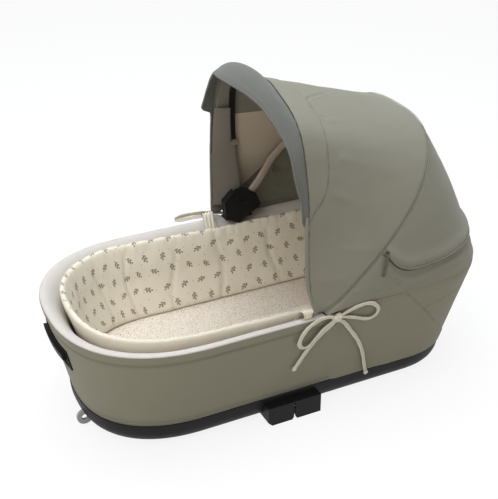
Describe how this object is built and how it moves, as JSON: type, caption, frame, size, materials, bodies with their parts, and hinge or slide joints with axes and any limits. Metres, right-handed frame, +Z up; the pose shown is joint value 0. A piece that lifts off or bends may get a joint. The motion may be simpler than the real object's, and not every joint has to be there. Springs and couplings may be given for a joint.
{
  "type": "carrycot",
  "caption": "Soft-sided carrycot with a moulded base, padded lining and mattress, and a folding cloth canopy on hinged bows, tied with ribbon bows.",
  "frame": {"origin": "middle of the tub's length and width, on the floor that it stands on", "axes": "+X towards the head (canopy) end, +Z up, -Y the side that faces the picture"},
  "size_m": [0.8459, 0.4657, 0.627],
  "materials": {
    "sage_cloth": "matt woven",
    "pale_cloth": "matt woven",
    "cream_cloth": "matt woven",
    "beige_cloth": "matt woven",
    "black_plastic": "satin",
    "grey_plastic": "satin",
    "black_rubber": "matt",
    "steel": "satin",
    "foam_board": "matt"
  },
  "bodies": {
    "tub": {"base_tray": "black_plastic", "floor_pad_1": "black_rubber", "floor_pad_2": "black_rubber", "floor_pad_3": "black_rubber", "floor_pad_4": "black_rubber", "foot_end_loop": "grey_plastic", "side_wall": "foam_board", "outer_cover": "sage_cloth", "hem_band": "sage_cloth", "rim_frame": "steel", "rim_lining": "pale_cloth", "mattress_board": "black_plastic", "mattress": "beige_cloth", "bumper_liner": "cream_cloth", "canopy_rear_panel": "sage_cloth", "canopy_skirt": "sage_cloth", "canopy_zip": "black_plastic", "release_bezel": "black_plastic", "hub_bracket_left": "black_plastic", "hub_cover_left": "black_plastic", "hub_pin_left": "steel", "adapter_left": "black_plastic", "release_cable_left": "black_plastic", "liner_tab_left": "cream_cloth", "ribbon_left_knot": "cream_cloth", "hub_bracket_right": "black_plastic", "hub_cover_right": "black_plastic", "hub_pin_right": "steel", "adapter_right": "black_plastic", "release_cable_right": "black_plastic", "liner_tab_right": "cream_cloth", "ribbon_right_knot": "cream_cloth", "ribbon_left_loop_a": "cream_cloth", "ribbon_left_loop_b": "cream_cloth", "ribbon_left_tail_a": "cream_cloth", "ribbon_left_tail_b": "cream_cloth", "ribbon_right_loop_a": "cream_cloth", "ribbon_right_loop_b": "cream_cloth", "ribbon_right_tail_a": "cream_cloth", "ribbon_right_tail_b": "cream_cloth"},
    "mid_bow_body": {"mid_bow": "black_plastic", "mid_bow_sleeve": "beige_cloth", "canopy_front_panel": "sage_cloth"},
    "front_bow_body": {"front_bow": "black_plastic", "bow_snap_left": "steel", "bow_snap_right": "steel", "canopy_visor": "sage_cloth"},
    "hub_button_left_body": {"hub_button_left": "black_plastic"},
    "hub_button_right_body": {"hub_button_right": "black_plastic"},
    "release_grip_body": {"release_grip": "black_plastic"},
    "adapter_latch_left_body": {"adapter_latch_left": "steel"},
    "adapter_latch_right_body": {"adapter_latch_right": "steel"},
    "zip_puller_body": {"zip_puller": "black_plastic"}
  },
  "joints": [
    {"name": "mid_bow_fold", "type": "hinge", "parent": "tub", "child": "mid_bow_body", "pos_m": [0.0456, 0, 0.2695], "axis": [0, 1, 0], "range_deg": [0, 36], "deforming": ["canopy_rear_panel", "canopy_front_panel"]},
    {"name": "front_bow_fold", "type": "hinge", "parent": "mid_bow_body", "child": "front_bow_body", "pos_m": [0.0456, 0, 0.2695], "axis": [0, 1, 0], "range_deg": [0, 36]},
    {"name": "hub_button_left_press", "type": "slide", "parent": "tub", "child": "hub_button_left_body", "axis": [0, 1, 0], "range_m": [0, 0.0025], "stiffness_N_per_m": 600},
    {"name": "hub_button_right_press", "type": "slide", "parent": "tub", "child": "hub_button_right_body", "axis": [0, -1, 0], "range_m": [0, 0.0025], "stiffness_N_per_m": 600},
    {"name": "release_grip_pull", "type": "slide", "parent": "tub", "child": "release_grip_body", "axis": [-1, 0, 0], "range_m": [0, 0.008], "stiffness_N_per_m": 500},
    {"name": "adapter_latch_left_slide", "type": "slide", "parent": "tub", "child": "adapter_latch_left_body", "axis": [-1, 0, 0], "range_m": [0, 0.005]},
    {"name": "adapter_latch_right_slide", "type": "slide", "parent": "tub", "child": "adapter_latch_right_body", "axis": [-1, 0, 0], "range_m": [0, 0.005]},
    {"name": "zip_puller_swing", "type": "hinge", "parent": "tub", "child": "zip_puller_body", "pos_m": [0.12896, -0.22451, 0.33], "axis": [-1, 0, 0], "range_deg": [0, 100]}
  ],
  "couplings": [
    {"joint": "front_bow_fold", "follows": "mid_bow_fold", "ratio": 1},
    {"joint": "adapter_latch_left_slide", "follows": "release_grip_pull", "ratio": 0.6},
    {"joint": "adapter_latch_right_slide", "follows": "release_grip_pull", "ratio": 0.6}
  ]
}
